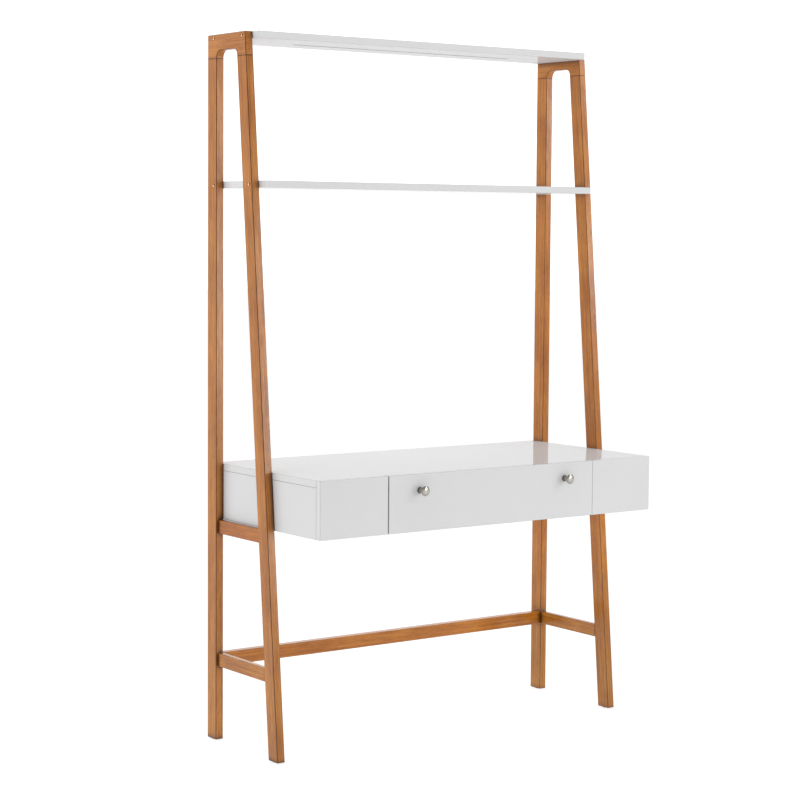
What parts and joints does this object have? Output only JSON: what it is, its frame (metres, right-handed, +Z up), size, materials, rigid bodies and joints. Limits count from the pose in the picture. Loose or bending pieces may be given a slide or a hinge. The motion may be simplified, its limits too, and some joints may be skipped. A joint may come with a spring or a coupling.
{
  "type": "ladder desk",
  "caption": "Ladder desk: stained wood A-frames with arched heads carry a white desk case with a centre drawer on telescopic runners, and white shelves above it.",
  "frame": {"origin": "on the floor, midway between the frames and midway between the back of the desk and the tips of the knobs", "axes": "+Z up, +X to the right of someone facing the desk, +Y towards the wall behind it"},
  "size_m": [1.116, 0.525, 1.829],
  "materials": {
    "stained_wood": "acorn stain under satin lacquer",
    "white_lacquer": "white gloss lacquer on board",
    "drawer_wood": "clear matt varnish",
    "dowel_beech": "raw, fluted",
    "satin_nickel": "satin nickel plate",
    "bronzed_steel": "bronzed",
    "zinc_steel": "bright zinc plate",
    "dark_plastic": "moulded"
  },
  "bodies": {
    "desk": {"back_stretcher": "stained_wood", "cabinet_runner_screws": "zinc_steel", "case_dowels": "dowel_beech", "case_screws": "zinc_steel", "desk_back": "white_lacquer", "desk_bolts": "zinc_steel", "desk_bottom": "white_lacquer", "desk_inserts": "zinc_steel", "desk_top": "white_lacquer", "foot_glides": "dark_plastic", "head_dowels": "dowel_beech", "left_cabinet_runner": "zinc_steel", "left_fixed_front": "white_lacquer", "left_front_leg": "stained_wood", "left_head": "stained_wood", "left_lower_rail": "stained_wood", "left_partition": "white_lacquer", "left_rear_leg": "stained_wood", "left_side_panel": "white_lacquer", "left_upper_rail": "stained_wood", "middle_shelf": "white_lacquer", "rail_dowels": "dowel_beech", "right_cabinet_runner": "zinc_steel", "right_fixed_front": "white_lacquer", "right_front_leg": "stained_wood", "right_head": "stained_wood", "right_lower_rail": "stained_wood", "right_partition": "white_lacquer", "right_rear_leg": "stained_wood", "right_side_panel": "white_lacquer", "right_upper_rail": "stained_wood", "shelf_bolts": "bronzed_steel", "shelf_inserts": "zinc_steel", "shelf_stiffener": "zinc_steel", "stiffener_screws": "zinc_steel", "stretcher_cam_pins": "zinc_steel", "stretcher_cams": "zinc_steel", "stretcher_dowels": "dowel_beech", "top_shelf": "white_lacquer"},
    "drawer": {"drawer_front": "white_lacquer", "drawer_inner_front": "drawer_wood", "left_drawer_side": "drawer_wood", "right_drawer_side": "drawer_wood", "drawer_back": "drawer_wood", "drawer_floor": "drawer_wood", "drawer_dowels": "dowel_beech", "drawer_front_screws": "zinc_steel", "left_knob": "satin_nickel", "right_knob": "satin_nickel", "knob_screws": "zinc_steel", "left_drawer_runner": "zinc_steel", "right_drawer_runner": "zinc_steel", "drawer_runner_screws": "zinc_steel"},
    "left_cage": {"left_ball_cage": "zinc_steel", "left_runner_balls": "zinc_steel"},
    "right_cage": {"right_ball_cage": "zinc_steel", "right_runner_balls": "zinc_steel"}
  },
  "joints": [
    {"name": "drawer_slide", "type": "slide", "parent": "desk", "child": "drawer", "axis": [0, -1, 0], "range_m": [0, 0.29]},
    {"name": "left_cage_slide", "type": "slide", "parent": "desk", "child": "left_cage", "axis": [0, -1, 0], "range_m": [0, 0.145]},
    {"name": "right_cage_slide", "type": "slide", "parent": "desk", "child": "right_cage", "axis": [0, -1, 0], "range_m": [0, 0.145]}
  ],
  "couplings": [
    {"joint": "left_cage_slide", "follows": "drawer_slide", "ratio": 0.5},
    {"joint": "right_cage_slide", "follows": "drawer_slide", "ratio": 0.5}
  ]
}
